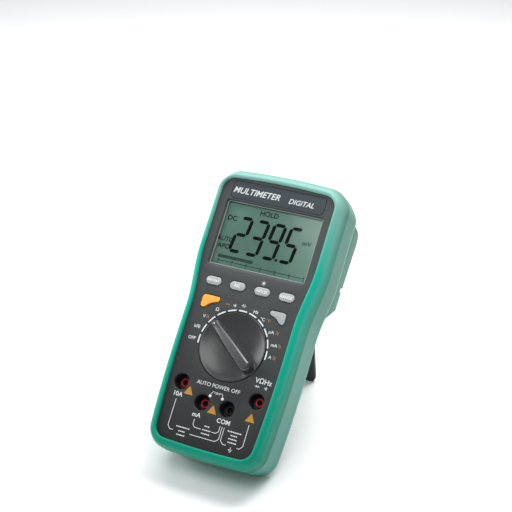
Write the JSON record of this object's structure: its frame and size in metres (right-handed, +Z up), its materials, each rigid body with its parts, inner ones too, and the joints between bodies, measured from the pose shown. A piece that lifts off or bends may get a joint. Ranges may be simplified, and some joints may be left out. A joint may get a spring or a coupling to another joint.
{
  "type": "handheld digital multimeter",
  "caption": "Handheld digital multimeter in a green rubber holster with probe holders, rotary selector, keys, safety jacks and a fold-out tilt stand.",
  "frame": {"origin": "middle of the whole part's footprint, on the surface it stands on, with the tilt stand open", "axes": "+Z up; +X to the viewer's right; the panel faces -Y, leaning back 41.3 degrees from the upright"},
  "size_m": [0.0978, 0.1668, 0.176],
  "materials": {
    "holster_rubber": "satin moulded green elastomer, slightly faded towards the back",
    "case_plastic": "fine-textured charcoal moulding",
    "knob_plastic": "fine-textured near-black moulding",
    "nameplate_film": "dark blue-grey printed film",
    "window_plastic": "clear moulded window",
    "lcd_glass": "grey-green reflective liquid-crystal panel with dark segments",
    "white_nylon": "plain moulded nylon",
    "key_grey": "satin grey silicone-plastic keys",
    "key_orange": "satin orange key",
    "membrane_rubber": "conductive-dome silicone sheet",
    "sleeve_red": "red insulating sleeve",
    "black_plastic": "black moulding",
    "brass": "bright stamped brass",
    "zinc_steel": "zinc-plated steel",
    "board_laminate": "green solder mask on glass laminate",
    "fuse_ceramic": "ceramic fuse body with capped ends",
    "component_blue": "blue component coating",
    "component_amber": "amber component coating",
    "battery_jacket": "plain dark printed jacket round alkaline cells",
    "lead_red": "red wire insulation",
    "lead_black": "black wire insulation",
    "stand_plastic": "near-black textured moulding"
  },
  "bodies": {
    "meter": {"holster": "holster_rubber", "front_case": "case_plastic", "rear_case": "case_plastic", "display_lens": "window_plastic", "lcd_panel": "lcd_glass", "lcd_frame": "white_nylon", "backlight_panel": "white_nylon", "zebra_strip": "black_plastic", "nameplate": "nameplate_film", "keypad_membrane": "membrane_rubber", "detent_ring": "white_nylon", "jack_sleeve_10a": "sleeve_red", "jack_terminal_10a": "brass", "jack_sleeve_ma": "sleeve_red", "jack_terminal_ma": "brass", "jack_sleeve_com": "black_plastic", "jack_terminal_com": "brass", "jack_sleeve_v": "sleeve_red", "jack_terminal_v": "brass", "main_pcb": "board_laminate", "meter_ic": "black_plastic", "crystal": "zinc_steel", "buzzer": "black_plastic", "ptc_thermistor": "component_amber", "varistor": "component_blue", "capacitor": "component_blue", "shunt_wire": "brass", "fuse_10a": "fuse_ceramic", "fuse_clip_10a_left": "brass", "fuse_clip_10a_right": "brass", "fuse_ma": "fuse_ceramic", "fuse_clip_ma_left": "brass", "fuse_clip_ma_right": "brass", "battery_door": "case_plastic", "battery_door_screw": "zinc_steel", "battery": "battery_jacket", "battery_snap": "black_plastic", "battery_lead_red": "lead_red", "battery_lead_black": "lead_black", "case_screw_1": "zinc_steel", "case_screw_2": "zinc_steel", "case_screw_3": "zinc_steel", "case_screw_4": "zinc_steel"},
    "selector": {"selector_knob": "knob_plastic", "rotor_disc": "white_nylon", "detent_ball_left": "zinc_steel", "detent_ball_right": "zinc_steel", "detent_spring_left": "zinc_steel", "detent_spring_right": "zinc_steel", "contact_spring_1": "brass", "contact_spring_2": "brass"},
    "key_1": {"button_1": "key_grey"},
    "key_2": {"button_2": "key_grey"},
    "key_3": {"button_3": "key_grey"},
    "key_4": {"button_4": "key_grey"},
    "key_select": {"button_select": "key_orange"},
    "key_hold": {"button_hold": "key_grey"},
    "stand": {"kickstand": "stand_plastic"}
  },
  "joints": [
    {"name": "selector_turn", "type": "hinge", "parent": "meter", "child": "selector", "pos_m": [0, -0.03175, 0.0835], "axis": [0, -0.7513, 0.66], "range_deg": [-144, 36]},
    {"name": "key_1_press", "type": "slide", "parent": "meter", "child": "key_1", "axis": [0, 0.7513, -0.66], "range_m": [0, 0.001], "stiffness_N_per_m": 300, "springref_m": -0.002},
    {"name": "key_2_press", "type": "slide", "parent": "meter", "child": "key_2", "axis": [0, 0.7513, -0.66], "range_m": [0, 0.001], "stiffness_N_per_m": 300, "springref_m": -0.002},
    {"name": "key_3_press", "type": "slide", "parent": "meter", "child": "key_3", "axis": [0, 0.7513, -0.66], "range_m": [0, 0.001], "stiffness_N_per_m": 300, "springref_m": -0.002},
    {"name": "key_4_press", "type": "slide", "parent": "meter", "child": "key_4", "axis": [0, 0.7513, -0.66], "range_m": [0, 0.001], "stiffness_N_per_m": 300, "springref_m": -0.002},
    {"name": "key_select_press", "type": "slide", "parent": "meter", "child": "key_select", "axis": [0, 0.7513, -0.66], "range_m": [0, 0.001], "stiffness_N_per_m": 300, "springref_m": -0.002},
    {"name": "key_hold_press", "type": "slide", "parent": "meter", "child": "key_hold", "axis": [0, 0.7513, -0.66], "range_m": [0, 0.001], "stiffness_N_per_m": 300, "springref_m": -0.002},
    {"name": "stand_fold", "type": "hinge", "parent": "meter", "child": "stand", "pos_m": [0, 0.0509, 0.10939], "axis": [1, 0, 0], "range_deg": [-52.4, 0]}
  ]
}
